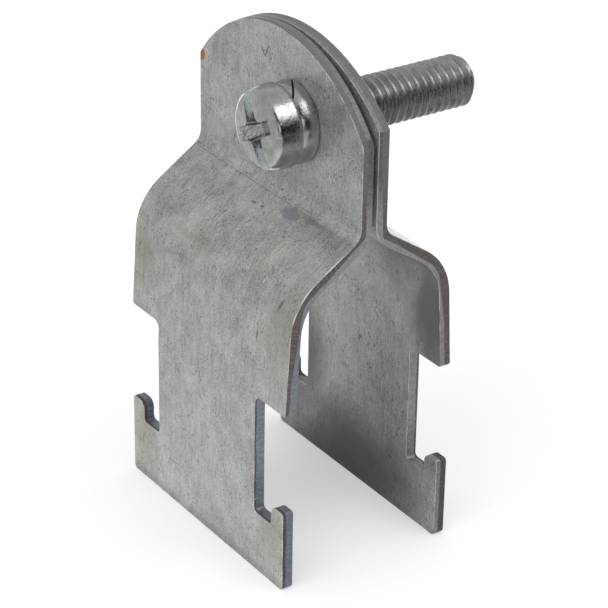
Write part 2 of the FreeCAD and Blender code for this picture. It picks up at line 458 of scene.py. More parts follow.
# %% Group: hair scratches
def make_scratch_group():
    """Thin broken lines along an angle in the plane of the sheet."""
    inputs = [("Place", PLACE, (0, 0, 0)), ("Angle", NUMBER, 0.0), ("Gap", NUMBER, 1.5)]
    tree, given, result = start_group("hair_scratches", inputs, [("Scratches", NUMBER)])
    turned = turn_flat(tree, given["Place"], given["Angle"])
    per_mm = arithmetic(tree, "DIVIDE", 1.0, given["Gap"])
    drawn = vector_sum(tree, "MULTIPLY", turned, (1.0, 0.08, 1.0))
    lines = noise(tree, drawn, per_mm, 1.0)
    offset = arithmetic(tree, "ABSOLUTE", arithmetic(tree, "SUBTRACT", lines, 0.5))
    thin = stretch(tree, offset, 0.0015, 0.006, 1.0, 0.0)
    kept = stretch(tree, noise(tree, turned, 0.6, 2.0), 0.5, 0.62)
    tree.links.new(times(tree, thin, kept), result["Scratches"])
    return tree


scratch_group = make_scratch_group()
print("group:", scratch_group.name)

# %% [markdown]
# Single marks, such as a rust spot or a stain, sit at one place. A mark is an ellipse with a
# ragged rim: the place is moved to the mark's centre, turned, divided by its half sizes, and noise
# is added to its distance from the centre before it is cut off at one.

# %% Group: one mark
def make_mark_group():
    """A ragged ellipse at one place on the sheet, 1 inside and 0 outside."""
    inputs = [
        ("Place", PLACE, (0, 0, 0)),
        ("Centre", PLACE, (0, 0, 0)),
        ("Half Size", PLACE, (1, 1, 1)),
        ("Angle", NUMBER, 0.0),
        ("Ragged", NUMBER, 0.4),
        ("Softness", NUMBER, 0.3),
    ]
    tree, given, result = start_group("one_mark", inputs, [("Mark", NUMBER)])
    moved = vector_sum(tree, "SUBTRACT", given["Place"], given["Centre"])
    turned = turn_flat(tree, moved, given["Angle"])
    sized = vector_sum(tree, "DIVIDE", turned, given["Half Size"])
    rough = arithmetic(tree, "SUBTRACT", noise(tree, sized, 1.6, 4.0), 0.5)
    ragged = times(tree, rough, 2.0)
    reach = add_shares(tree, vector_sum(tree, "LENGTH", sized), (ragged, given["Ragged"]))
    inner = arithmetic(tree, "SUBTRACT", 1.0, given["Softness"])
    tree.links.new(stretch(tree, reach, inner, 1.0, 1.0, 0.0), result["Mark"])
    return tree


mark_group = make_mark_group()
print("group:", mark_group.name)

# %% [markdown]
# The galvanised face. Zinc on mill-rolled strip is a matt mid grey with a soft sheen. The colour
# runs between a darker and a lighter grey by grain and smudges together, specks and scratches
# darken it, and the same values vary the roughness and a very shallow bump. A small smudge noise
# stands for the fine spangle of the zinc. Thin dark lines along the crease where the shoulder
# bends are painted shade. The rounded rims and some listed spots are painted lighter, partly as
# wear and partly as painted glints. Marks on the inner face are found by the depth as well as by
# their place, and the large ones there are painted shade. The material reads the piece's own
# attribute: millimetres across the strip, millimetres along it, and the depth through the sheet
# from 0 on the outer face to 1 on the inner one. So the grain follows the folds.

# %% Galvanised face
BARE_METAL = 0.68
GALVANISED_DARK = (0.17, 0.17, 0.167, 1)
GALVANISED_LIGHT = (0.66, 0.66, 0.65, 1)
SPECK_COLOUR = (0.13, 0.13, 0.12, 1)
OLIVE_TINT = (1.0, 0.997, 0.96, 1)
BLUE_TINT = (0.97, 0.99, 1.0, 1)
RUST_COLOUR = (0.3, 0.12, 0.03, 1)
STAIN_COLOUR = (0.2, 0.225, 0.245, 1)
# the light colour of worn bare metal, also used for painted glints
WORN_AND_GLINT_COLOUR = (0.85, 0.85, 0.84, 1)
SMEAR_COLOUR = (0.27, 0.265, 0.21, 1)
# the colour of the painted shade on the inner faces
INNER_SHADE_COLOUR = (0.17, 0.17, 0.167, 1)
CREASE_ALONG = 43.9
TONE_SHIFT = -0.13


def sheet_place(tree):
    """The place on the sheet that the piece carries as an attribute."""
    return add_node(tree, "ShaderNodeAttribute", attribute_name="sheet_place").outputs["Vector"]


def add_marks(tree, place, marks, depth=0.0):
    """The strongest of several marks, each (x, along, half width, half length, angle, softness)."""
    shares = []
    for x, along, half_width, half_length, angle, softness in marks:
        form = {"Half_Size": (half_width, half_length, 0.3), "Ragged": 0.35, "Softness": softness}
        spot = {"Centre": (x, along, depth), "Angle": math.radians(angle)}
        shares.append(use_group(tree, mark_group, Place=place, **spot, **form))
    return strongest(tree, shares)


def crease_shade_lines(tree, place):
    """Two fine dark lines painted along the crease as its shade."""
    waver = noise(tree, vector_sum(tree, "MULTIPLY", place, (0.35, 0.0, 0.0)), 1.0, 3.0)
    along = add_shares(tree, coordinate(tree, place, 1), (waver, 0.3))
    lines = []
    for offset, strength in ((0.15, 0.45), (0.5, 0.2)):
        off = arithmetic(tree, "SUBTRACT", along, CREASE_ALONG + offset)
        off = arithmetic(tree, "ABSOLUTE", off)
        lines.append(stretch(tree, off, 0.03, 0.1, strength, 0.0))
    faded = stretch(tree, coordinate(tree, place, 0), 5.0, 9.0, 1.0, 0.15)
    return times(tree, strongest(tree, lines), faded)


def make_galvanised(name, shift, marks):
    """The zinc coated face of one half, with its own marks, listed by their kind."""
    material, tree, shader = new_paint(name)
    place = sheet_place(tree)
    own = vector_sum(tree, "ADD", place, shift)
    fine = use_group(tree, grain_group, Place=own, Across=7.0, Along=0.8)
    broad = use_group(tree, grain_group, Place=own, Across=1.8, Along=0.15)
    spangle = use_group(tree, smudge_group, Place=own, Size=0.2)
    cloud = use_group(tree, smudge_group, Place=own, Size=9.0)
    small_cloud = use_group(tree, smudge_group, Place=own, Size=2.2)
    specks = use_group(tree, speck_group, Place=own, Size=0.22, Amount=0.85)
    hairs = []
    for angle, gap in ((0.5, 2.2), (-0.9, 2.6), (0.03, 0.8), (-0.1, 1.3)):
        hairs.append(use_group(tree, scratch_group, Place=own, Angle=angle, Gap=gap))
    scratches = strongest(tree, hairs)
    clouds = ((cloud, 0.26), (small_cloud, 0.18))
    tone = add_shares(tree, TONE_SHIFT, (fine, 0.28), (broad, 0.15), (spangle, 0.45), *clouds)
    colour = blend(tree, tone, GALVANISED_DARK, GALVANISED_LIGHT)
    tint = use_group(tree, smudge_group, Place=own, Size=5.0)
    tinted = blend(tree, tint, OLIVE_TINT, BLUE_TINT)
    colour = blend(tree, 1.0, colour, tinted, "MULTIPLY")
    inner_darks = add_marks(tree, place, marks["inner_darks"], 1.0)
    darks = arithmetic(tree, "MAXIMUM", add_marks(tree, place, marks["darks"]), inner_darks)
    # the rounded rims painted lighter: partly wear, partly a painted glint
    wear_and_painted_light = add_node(tree, "ShaderNodeAttribute", attribute_name="arris").outputs["Fac"]
    wear_and_painted_light = times(tree, wear_and_painted_light, stretch(tree, small_cloud, 0.25, 0.6))
    # listed bright marks: painted glints along the shoulder's rim, and a few bare spots
    glints_and_bare_spots = add_marks(tree, place, marks["glints_and_bare_spots"])
    bare_and_glints = arithmetic(tree, "MAXIMUM", times(tree, wear_and_painted_light, 0.8), glints_and_bare_spots)
    rust = add_marks(tree, place, marks["rust"])
    rust = times(tree, rust, stretch(tree, fine, 0.1, 0.45, 0.75, 1.0))
    layers = (
        (add_marks(tree, place, marks["smears"]), 0.5, SMEAR_COLOUR),
        # large soft marks on the inner faces: painted shade
        (add_marks(tree, place, marks["inside"], 1.0), 0.95, INNER_SHADE_COLOUR),
        # thin dark lines along the crease: painted shade
        (crease_shade_lines(tree, place), 1.0, SPECK_COLOUR),
        (specks, 0.75, SPECK_COLOUR),
        (scratches, 0.4, SPECK_COLOUR),
        (add_marks(tree, place, marks["stains"]), 0.7, STAIN_COLOUR),
        (darks, 0.8, SPECK_COLOUR),
        # lighter where worn and where glints are painted
        (bare_and_glints, 1.0, WORN_AND_GLINT_COLOUR),
        (rust, 1.0, RUST_COLOUR),
    )
    colour = lay_over(tree, colour, layers)
    metal = add_shares(tree, BARE_METAL, (rust, -BARE_METAL))
    roughness = stretch(tree, cloud, 0.0, 1.0, 0.3, 0.38)
    roughness = add_shares(tree, roughness, (fine, 0.1), (rust, 0.4), (bare_and_glints, -0.18))
    dips = ((specks, -1.2), (scratches, -0.6))
    height = add_shares(tree, fine, (spangle, 0.8), *dips, (rust, 1.5))
    normal = bump(tree, height, 0.35, 0.00002)
    finish = {"Base Color": colour, "Metallic": metal, "Roughness": roughness, "Normal": normal}
    wire(tree, shader, finish)
    return material


FRONT_MARKS = {
    "rust": [(-15.6, 55.0, 0.95, 0.85, 10, 0.25)],
    "stains": [
        (4.9, 43.05, 2.1, 0.95, 0, 0.45),
        (8.6, 43.6, 3.4, 0.6, 0, 0.9),
    ],
    "smears": [
        (-12.5, 57.0, 2.6, 0.9, -60, 0.9),
        (-8.2, 56.0, 2.8, 0.8, -70, 0.9),
        (-3.0, 35.0, 4.0, 2.0, 0, 0.9),
        (14.0, 31.0, 4.8, 10.0, 5, 0.8),
        (-13.5, 29.5, 4.0, 6.0, 0, 0.9),
        (13.5, 6.0, 3.5, 6.0, 0, 0.9),
        (-13.0, 6.0, 4.0, 7.0, 0, 0.9),
    ],
    # the inside marks are painted shade on the inner face
    "inside": [(0.0, 20.0, 14.0, 12.0, 0, 0.9)],
    "inner_darks": [(2.0, 22.0, 0.15, 0.8, 10, 0.5)],
    "darks": [
        (-3.0, 59.5, 0.2, 0.75, -40, 0.4),
        (-2.3, 59.8, 0.2, 0.9, 18, 0.4),
        (-0.9, 41.9, 0.55, 0.18, 0, 0.5),
        (0.6, 42.0, 0.4, 0.2, 0, 0.5),
        (0.2, 42.4, 0.3, 0.12, 0, 0.5),
        (7.6, 47.6, 0.25, 0.13, 30, 0.5),
        (10.6, 47.0, 0.13, 0.25, 0, 0.5),
        (10.1, 46.0, 0.14, 0.28, 20, 0.5),
        (8.9, 41.0, 0.08, 0.7, 50, 0.4),
        (13.0, 34.2, 0.35, 1.1, 15, 0.8),
        (9.7, 29.3, 0.25, 1.0, 8, 0.8),
    ],
    # glints painted along the shoulder's rim, and small bare spots
    "glints_and_bare_spots": [
        (8.9, 35.3, 0.07, 0.4, 0, 0.5),
        (10.0, 42.8, 0.12, 0.08, 0, 0.5),
        (13.1, 44.5, 0.1, 0.1, 0, 0.5),
        (15.79, 40.8, 0.13, 1.9, 0, 0.5),
        (15.79, 36.8, 0.12, 1.5, 0, 0.5),
        (15.8, 33.8, 0.1, 0.9, 0, 0.5),
    ],
}
BACK_MARKS = {
    "rust": [(13.0, 57.4, 0.5, 0.35, 0, 0.3)],
    "stains": [(-4.0, 30.0, 2.5, 1.6, 15, 0.7)],
    "smears": [(6.0, 34.0, 3.0, 1.5, 20, 0.9)],
    # the inside marks are painted shade on the inner face
    "inside": [
        (14.6, 29.0, 5.0, 11.0, 4, 0.7),
        (8.0, 37.5, 10.0, 10.0, 0, 0.8),
        (0.0, 2.0, 18.0, 10.0, 0, 0.8),
        (-11.5, 12.0, 7.5, 13.0, 0, 0.8),
    ],
    "inner_darks": [
        (8.0, 31.0, 0.15, 0.5, 20, 0.5),
        (3.0, 12.0, 0.12, 0.7, -15, 0.5),
        (12.2, 33.6, 0.2, 0.45, 40, 0.5),
    ],
    "darks": [(5.0, 25.0, 0.14, 0.6, 12, 0.5)],
    # bright marks, painted lighter than the zinc round them
    "glints_and_bare_spots": [(-9.0, 33.0, 0.08, 0.5, 30, 0.5)],
}
front_face = make_galvanised("galvanised_front", (0, 0, 0), FRONT_MARKS)
back_face = make_galvanised("galvanised_back", (71, 133, 0), BACK_MARKS)
print("materials:", front_face.name, back_face.name)

# %% [markdown]
# The sheared edge. The blank is cut out after galvanising, so its edge shows bare steel in two
# bands. The punch first shears it smooth, and then it tears: the torn band goes brown and dull,
# the smooth one stays light with fine lines across the thickness. The border between them wavers.
# Which band a point is in comes from its depth through the sheet. The torn share is large on the
# ears and small in the notches, and it differs from half to half. Bright flecks in the torn band
# are painted glints. The edges are darker towards the feet. On the ears the two bands are blended
# to nearly one tone: the torn band is lightened and the smooth band is painted dark as shade.

# %% Sheared edge
TORN_DARK = (0.125, 0.112, 0.106, 1)
TORN_LIGHT = (0.205, 0.184, 0.175, 1)
SMOOTH_DARK = (0.37, 0.37, 0.37, 1)
SMOOTH_LIGHT = (0.56, 0.56, 0.55, 1)
BLUE_EDGE_TINT = (0.66, 0.72, 0.86, 1)
BROWN_EDGE_TINT = (0.86, 0.83, 0.81, 1)
# ear edge tones: the smooth band is painted near black there, as shade
EAR_TORN = (0.232, 0.23, 0.222, 1)
EAR_SMOOTH_SHADE = (0.03, 0.03, 0.03, 1)
NOTCH_TORN_DEPTH = 0.2
FOOT_EDGE_SHARE = 0.74
EAR_SHADE_SHARE = 0.5


def make_sheared(name, shift, rust_marks, ear_depth, leg_depth, low_tint):
    """The bare cut edge of one half, torn to one depth on the ear and to another on the leg."""
    material, tree, shader = new_paint(name)
    place = sheet_place(tree)
    own = vector_sum(tree, "ADD", place, shift)
    flat = vector_sum(tree, "MULTIPLY", own, (1, 1, 0.35))
    waver = noise(tree, flat, 0.4, 5.0)
    up_strip = coordinate(tree, place, 1)
    aside = arithmetic(tree, "ABSOLUTE", coordinate(tree, place, 0))
    low_depth = stretch(tree, aside, 11.5, 13.5, NOTCH_TORN_DEPTH, leg_depth)
    torn_depth = stretch(tree, up_strip, 22.0, 42.0, low_depth, ear_depth)
    border = arithmetic(tree, "ADD", torn_depth, stretch(tree, waver, 0.25, 0.75, -0.05, 0.05))
    past = arithmetic(tree, "SUBTRACT", coordinate(tree, place, 2), border)
    smooth_part = stretch(tree, past, -0.05, 0.05)
    lines = noise(tree, flat, 6.5, 2.0)
    chips = noise(tree, own, 3.4, 4.0)
    torn = blend(tree, stretch(tree, chips, 0.35, 0.75), TORN_DARK, TORN_LIGHT)
    # bright flecks in the torn band: painted glints
    glint_flecks = stretch(tree, chips, 0.72, 0.76)
    torn = blend(tree, glint_flecks, torn, WORN_AND_GLINT_COLOUR)
    smooth = blend(tree, stretch(tree, lines, 0.3, 0.7), SMOOTH_DARK, SMOOTH_LIGHT)
    low = stretch(tree, up_strip, 30.0, 42.0, 1.0, 0.0)
    smooth = blend(tree, low, smooth, low_tint, "MULTIPLY")
    # up on the ears the bands are blended, the smooth one darkened as painted shade
    wear_and_painted_light = stretch(tree, up_strip, 46.0, 52.0, 0.0, EAR_SHADE_SHARE)
    torn = blend(tree, wear_and_painted_light, torn, EAR_TORN)
    smooth = blend(tree, wear_and_painted_light, smooth, EAR_SMOOTH_SHADE)
    colour = blend(tree, smooth_part, torn, smooth)
    # the edges are blended towards black low down, darker towards the feet
    feet_darkening = stretch(tree, up_strip, 10.0, 14.5, FOOT_EDGE_SHARE, 1.0)
    colour = blend(tree, feet_darkening, (0, 0, 0, 1), colour)
    rust = add_marks(tree, place, rust_marks)
    colour = blend(tree, rust, colour, RUST_COLOUR)
    metal = stretch(tree, smooth_part, 0.0, 1.0, 0.4, 0.7)
    metal = arithmetic(tree, "SUBTRACT", metal, rust, clamp=True)
    roughness = add_shares(tree, stretch(tree, smooth_part, 0.0, 1.0, 0.72, 0.48), (rust, 0.3))
    torn_height = times(tree, chips, 3.0)
    torn_part = arithmetic(tree, "SUBTRACT", 1.0, smooth_part)
    height = add_shares(tree, lines, (torn_height, torn_part))
    normal = bump(tree, height, 0.5, 0.00004)
    finish = {"Base Color": colour, "Metallic": metal, "Roughness": roughness, "Normal": normal}
    wire(tree, shader, {**finish, "Specular IOR Level": 0.25})
    return material


front_edge_rust = FRONT_MARKS["rust"] + [(10.1, 11.5, 0.4, 0.25, 0, 0.4)]
front_edge = make_sheared("sheared_front", (0, 0, 0), front_edge_rust, 0.5, 0.33, BLUE_EDGE_TINT)
back_edge = make_sheared("sheared_back", (53, 17, 0), BACK_MARKS["rust"], 0.62, 0.6, BROWN_EDGE_TINT)
print("materials:", front_edge.name, back_edge.name)

# %% [markdown]
# The fold line of a half, seen from its side: a straight foot, a leg that leans in a little, the
# shoulder and the upright ear, joined by bends. The strip was flat before it was folded, so a
# pattern on it needs the distance along this line, not the height. The line is worked out here
# from the sizes of the fold, in millimetres, with the bends as many short steps.

# %% Fold line
SHEET_MM = 1.4
EAR_FACE_MM = 1.68
LEG_FACE_MM = 11.15
LEAN_START_MM = 20.0
CREASE_MM = 40.8
EAR_TOP_MM = 59.3
LEG_LEAN = math.radians(3.4)
SHOULDER_SLOPE = math.radians(33.7)
OUTER_BEND_MM = (31.4, 7.5, 2.0)
BEND_STEPS = 24


def fold_corners():
    """The outer face's corners before they are rounded, as (out from the middle, height)."""
    run = LEG_FACE_MM - EAR_FACE_MM
    rise = CREASE_MM - LEAN_START_MM
    slope = math.tan(SHOULDER_SLOPE)
    climb = (rise - run * slope) / (1 - math.tan(LEG_LEAN) * slope)
    shoulder = (LEG_FACE_MM - climb * math.tan(LEG_LEAN), LEAN_START_MM + climb)
    points = [(LEG_FACE_MM, 0), (LEG_FACE_MM, LEAN_START_MM), shoulder]
    points += [(EAR_FACE_MM, CREASE_MM), (EAR_FACE_MM, EAR_TOP_MM)]
    return [Vector(point) for point in points]


def rounded_line(corners, radii):
    """The corners joined by straight runs and stepped arcs."""
    line = [corners[0]]
    for before, here, after, radius in zip(corners, corners[1:], corners[2:], radii):
        arriving = (here - before).normalized()
        leaving = (after - here).normalized()
        turn = arriving.angle(leaving)
        reach = radius * math.tan(turn / 2)
        centre = here + (leaving - arriving).normalized() * radius / math.cos(turn / 2)
        start = (here - arriving * reach - centre).normalized()
        end = (here + leaving * reach - centre).normalized()
        for step in range(BEND_STEPS + 1):
            line.append(centre + start.slerp(end, step / BEND_STEPS) * radius)
    line.append(corners[-1])
    return line


fold_line = rounded_line(fold_corners(), OUTER_BEND_MM)
fold_reach = [0.0]
for here, there in zip(fold_line, fold_line[1:]):
    fold_reach.append(fold_reach[-1] + (there - here).length)
print("flat length of a half:", round(fold_reach[-1], 2), "mm")

# %% [markdown]
# Each point of a half then gets its place on the flat strip: the nearest point of the fold line
# gives the distance along and the way through the sheet. The same line gives the sheet's own
# outward direction, which tells a face of the sheet from its cut edge.

# %% Place on the flat strip
def on_strip(out, height):
    """The distance along the strip, the depth below its outer face, and the outward direction."""
    best = None
    point = Vector((out, height))
    for index, (here, there) in enumerate(zip(fold_line, fold_line[1:])):
        step = there - here
        share = (point - here).dot(step) / step.length_squared
        share = min(max(share, 0.0), 1.0)
        foot = here + step * share
        away = (point - foot).length
        if best is None or away < best[0]:
            outward = Vector((step.y, -step.x)).normalized()
            best = (away, fold_reach[index] + share * step.length, (foot - point).dot(outward), outward)
    return best[1], best[2], best[3]


along, below = on_strip(LEG_FACE_MM - SHEET_MM, 10.0)[:2]
print("inner face of the leg: along", round(along, 2), "depth", round(below, 2))

# %% [markdown]
# The halves. Their solids have the right shape, but a cut sheet never has knife-sharp edges, and
# it is the narrow rolled rim that catches the light. So a copy of the solid is merged from loose
# triangles into whole faces, the edges between a face and a cut are rounded by a tenth of a
# millimetre, and the shading is set so that flats stay flat. The copy then stands for the solid.

# %% Working helpers
def end_edit():
    """Leaves edit mode."""
    bpy.ops.object.mode_set(mode="OBJECT")


def work_on(piece):
    """Makes one piece the selected and active one."""
    if bpy.context.object and bpy.context.object.mode != "OBJECT":
        end_edit()
    bpy.ops.object.select_all(action="DESELECT")
    piece.select_set(True)
    bpy.context.view_layer.objects.active = piece


def edit_whole(piece):
    """Enters edit mode with the whole piece selected."""
    work_on(piece)
    bpy.ops.object.mode_set(mode="EDIT")
    bpy.ops.mesh.select_all(action="SELECT")


def select_parts(piece, kind, wanted):
    """Selects the parts of one kind that a test picks, stays in edit mode, and counts them."""
    work_on(piece)
    bpy.ops.object.mode_set(mode="EDIT")
    bpy.ops.mesh.select_mode(type=kind)
    bpy.ops.mesh.select_all(action="DESELECT")
    end_edit()
    mesh = piece.data
    count = 0
    for part in {"VERT": mesh.vertices, "EDGE": mesh.edges, "FACE": mesh.polygons}[kind]:
        part.select = wanted(part)
        count += part.select
    bpy.ops.object.mode_set(mode="EDIT")
    return count


def merged_copy(node_name, piece_name):
    """A separate piece with the solid's shape, its triangles merged into whole faces."""
    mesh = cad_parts[node_name].data.copy()
    mesh.materials.clear()
    piece = bpy.data.objects.new(piece_name, mesh)
    mesh.name = piece_name
    bpy.context.scene.collection.objects.link(piece)
    edit_whole(piece)
    bpy.ops.mesh.remove_doubles(threshold=0.000002)
    bpy.ops.mesh.customdata_custom_splitnormals_clear()
    bpy.ops.mesh.dissolve_limited(angle_limit=math.radians(0.6))
    end_edit()
    return piece


# %% Round the rims of a half
RIM_ROUND = 0.00009
RIM_SEGMENTS = 3
SURFACE_MM = 0.02
SHARP_CUT = 0.35
ROUNDED_CUT = 0.3
ROUNDED_FACE = 0.95


def face_on_strip(face, side):
    """How far a face lies below the sheet's outer face, and how much it looks out of the sheet."""
    centre = face.center * 1000
    below, outward = on_strip(side * centre.y, centre.z)[1:]
    return below, abs(face.normal.dot(Vector((0, side * outward.x, outward.y))))


def is_cut(face, side, limit):
    """True where a face of the mesh looks along the sheet, so that it is a cut edge."""
    below, slant = face_on_strip(face, side)
    return slant < limit and below > -SURFACE_MM


def round_rims(piece, side):
    """Rounds every edge where a face meets a cut."""
    beside = {}
    for face in piece.data.polygons:
        cut = is_cut(face, side, SHARP_CUT)
        for key in face.edge_keys:
            beside.setdefault(key, set()).add(cut)
    count = select_parts(piece, "EDGE", lambda edge: len(beside.get(edge.key, ())) == 2)
    bpy.ops.mesh.bevel(
        offset=RIM_ROUND, segments=RIM_SEGMENTS, profile=0.5, affect="EDGES", clamp_overlap=False
    )
    end_edit()
    return count


# %% [markdown]
# Shading by angle keeps real corners crisp, and weighting the normals by the size of the faces
# keeps the large flat faces from borrowing the slant of the narrow rounded rims.

# %% Shade and place on the strip
def shade_flats_flat(piece, angle):
    """Smooth shading up to an angle, with large faces kept flat."""
    work_on(piece)
    bpy.ops.object.shade_smooth_by_angle(angle=math.radians(angle))
    weighting = piece.modifiers.new("flats", "WEIGHTED_NORMAL")
    weighting.keep_sharp = True
    weighting.weight = 60
    bpy.ops.object.modifier_apply(modifier="flats")


def write_strip_places(piece, side):
    """Gives the piece its strip coordinates and marks the rounded rims."""
    mesh = piece.data
    places = mesh.attributes.new("sheet_place", "FLOAT_VECTOR", "POINT")
    for vertex, value in zip(mesh.vertices, places.data):
        point = vertex.co * 1000
        along, below = on_strip(side * point.y, point.z)[:2]
        value.vector = (point.x, along, min(max(below / SHEET_MM, 0.0), 1.0))
    rims = mesh.attributes.new("arris", "FLOAT", "FACE")
    cut_faces = 0
    for face, value in zip(mesh.polygons, rims.data):
        below, slant = face_on_strip(face, side)
        in_sheet = -SURFACE_MM < below < SHEET_MM + SURFACE_MM
        value.value = 1.0 if ROUNDED_CUT < slant < ROUNDED_FACE and in_sheet else 0.0
        face.material_index = is_cut(face, side, ROUNDED_CUT)
        cut_faces += face.material_index
    return cut_faces


def make_half(node_name, side, face_material, edge_material, body):
    """One finished half, standing for its solid."""
    piece = merged_copy(node_name, node_name + "_sheet")
    rims = round_rims(piece, side)
    shade_flats_flat(piece, 40)
    piece.data.materials.append(face_material)
    piece.data.materials.append(edge_material)
    cut_faces = write_strip_places(piece, side)
    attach(piece, body)
    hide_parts(node_name)
    print(piece.name, "rims", rims, "cut faces", cut_faces, "faces", len(piece.data.polygons))


make_half("front_half", -1, front_face, front_edge, "front_clamp")
make_half("back_half", 1, back_face, back_edge, "back_clamp")

# %% [markdown]
# Zinc plating on the screw and the washer is thinner and brighter than the galvanising. It shows
# its surroundings clearly, but tumbling in the plating barrel leaves small dents and dull spots
# that break the reflections up, and the clear passivation gives a faint blue or yellow cast.

# %% Zinc plating
YELLOW_CAST = (0.62, 0.56, 0.4, 1)
BLUE_CAST = (0.36, 0.42, 0.55, 1)


def make_zinc(name, dark, light, dent_size, dent_depth, low_rough, high_rough):
    """Bright zinc plating with dents, dull spots and a faint cast."""
    material, tree, shader = new_paint(name)
    spot = add_node(tree, "ShaderNodeTexCoord").outputs["Object"]
    place = vector_sum(tree, "MULTIPLY", spot, (1000, 1000, 1000))
    cloud = use_group(tree, smudge_group, Place=place, Size=1.6)
    fine = use_group(tree, smudge_group, Place=place, Size=0.28)
    specks = use_group(tree, speck_group, Place=place, Size=0.16, Amount=0.35)
    dents = noise(tree, place, 1 / dent_size, 2.5)
    colour = blend(tree, cloud, dark, light)
    layers = (
        (stretch(tree, fine, 0.62, 0.95), 0.35, YELLOW_CAST),
        (stretch(tree, dents, 0.56, 0.75), 0.35, BLUE_CAST),
        (specks, 0.6, SPECK_COLOUR),
    )
    colour = lay_over(tree, colour, layers)
    roughness = stretch(tree, fine, 0.0, 1.0, low_rough, high_rough)
    roughness = add_shares(tree, roughness, (specks, 0.25))
    height = add_shares(tree, dents, (fine, 0.25))
    normal = bump(tree, height, 1.0, dent_depth)
    finish = {"Base Color": colour, "Metallic": 1.0, "Roughness": roughness, "Normal": normal}
    wire(tree, shader, finish)
    return material


head_zinc = make_zinc(
    "zinc_head", (0.38, 0.385, 0.38, 1), (0.58, 0.585, 0.58, 1), 0.35, 0.000022, 0.13, 0.27
)
thread_zinc = make_zinc(
    "zinc_thread", (0.29, 0.31, 0.295, 1), (0.46, 0.48, 0.46, 1), 0.4, 0.00001, 0.26, 0.38
)
washer_zinc = make_zinc(
    "zinc_washer", (0.38, 0.39, 0.39, 1), (0.54, 0.54, 0.53, 1), 0.35, 0.00002, 0.13, 0.26
)
# a near white zinc for the slot: painted highlight
recess_painted_highlight = make_zinc(
    "zinc_recess_painted_highlight", (0.78, 0.84, 0.85, 1), (0.95, 0.97, 0.97, 1), 0.6, 0.000008, 0.2, 0.3
)
print("materials:", head_zinc.name, thread_zinc.name, washer_zinc.name, recess_painted_highlight.name)

# %% [markdown]
# The screw is M6 with a pitch of one millimetre. Its axis is not in the middle of the strap.
# These are the sizes of its solid, in metres, and every part of the screw is made about this axis:
# first at the origin, so that it can be turned there, and then moved onto the axis.

# %% Screw sizes
MM = 0.001
TOLERANCE = 0.01 * MM
SCREW_AXIS = Vector((3.55 * MM, 0, 49.9 * MM))
HEAD_SEAT = -3.88 * MM
HEAD_HEIGHT = 3.05 * MM
HEAD_DOME = 0.3 * MM
HEAD_BASE_R = 4.7 * MM
HEAD_FACE_R = 4.35 * MM
HEAD_RIM = 0.45 * MM
HEAD_FACE = HEAD_SEAT - HEAD_HEIGHT
SCREW_LENGTH = 24.6 * MM
SCREW_TIP = HEAD_SEAT + SCREW_LENGTH
MAJOR_R = 3.0 * MM
MINOR_R = 2.43 * MM
PITCH = 1.0 * MM
TIP_CHAMFER = 0.9 * MM
RECESS_TURN = math.radians(27)


def settle(piece, spot=(0, 0, 0)):
    """Moves a piece made at the origin to its place, and writes the move into its mesh."""
    work_on(piece)
    piece.location = Vector(piece.location) + Vector(spot)
    bpy.ops.object.transform_apply(location=True, rotation=True, scale=True)


print("screw from", HEAD_FACE - HEAD_DOME, "to", SCREW_TIP)

# %% [markdown]
# The head starts as a cylinder with its axis along Y. The edge at its seat is rounded, which draws
# the dark seam against the washer. The front face is drawn in for the tapered flank, its rim is
# rounded with a bevel, and then it is inset ring by ring, each ring further out, so that it domes.

# %% Head blank
HEAD_SIDES = 96
RIM_BEVEL = 0.65 * MM
SEAT_BEVEL = 0.18 * MM
DOME_RINGS = 10


def front_cap(face):
    """True for the face of the head that looks forward."""
    return face.normal.y < -0.99 and face.area > 1e-6


bpy.ops.mesh.primitive_cylinder_add(
    vertices=HEAD_SIDES, radius=HEAD_BASE_R, depth=HEAD_HEIGHT - HEAD_RIM, rotation=(math.pi / 2, 0, 0)
)
head = bpy.context.object
head.name = "screw_zinc"
settle(head, (0, (HEAD_FACE + HEAD_SEAT - HEAD_RIM) / 2, 0))
select_parts(head, "FACE", lambda face: face.normal.y > 0.99)
bpy.ops.mesh.extrude_region_move(TRANSFORM_OT_translate={"value": (0, HEAD_RIM, 0)})
bpy.ops.mesh.region_to_loop()
bpy.ops.mesh.bevel(offset=SEAT_BEVEL, segments=4, profile=0.5, affect="EDGES")
select_parts(head, "FACE", front_cap)
share = HEAD_FACE_R / HEAD_BASE_R
bpy.ops.transform.resize(value=(share, 1, share), center_override=(0, HEAD_FACE, 0))
bpy.ops.mesh.region_to_loop()
bpy.ops.mesh.bevel(offset=RIM_BEVEL, segments=8, profile=0.5, affect="EDGES")
select_parts(head, "FACE", front_cap)
flat_r = HEAD_FACE_R - RIM_BEVEL
for ring in range(1, DOME_RINGS):
    rise = HEAD_DOME * ((1 - (ring - 1) / DOME_RINGS) ** 2 - (1 - ring / DOME_RINGS) ** 2)
    bpy.ops.mesh.inset(thickness=flat_r / DOME_RINGS, depth=0)
    bpy.ops.transform.translate(value=(0, -rise, 0))
end_edit()
print("head blank faces:", len(head.data.polygons), "front at", min(v.co.y for v in head.data.vertices))

# %% [markdown]
# The drive recess takes a flat blade or a cross tip: a slot right across the head, and a cross
# whose arms taper towards its floor. Each of its blocks is a cube stretched to size, and the arms
# have their inner end drawn in. The blocks are joined first, the edges where the slot meets the
# level arm are rounded with a bevel, and one Boolean modifier then takes the recess out of the head.

# %% Drive recess
SLOT_WIDTH = 1.75 * MM
SLOT_DEPTH = 1.35 * MM
CROSS_SPAN = 6.0 * MM
CROSS_FOOT_SPAN = 3.2 * MM
CROSS_WIDTH = 1.55 * MM
CROSS_FOOT_WIDTH = 1.0 * MM
CROSS_DEPTH = 1.9 * MM
CUTTER_REACH = 2.0 * MM
LOBE_CORNER = 0.8 * MM


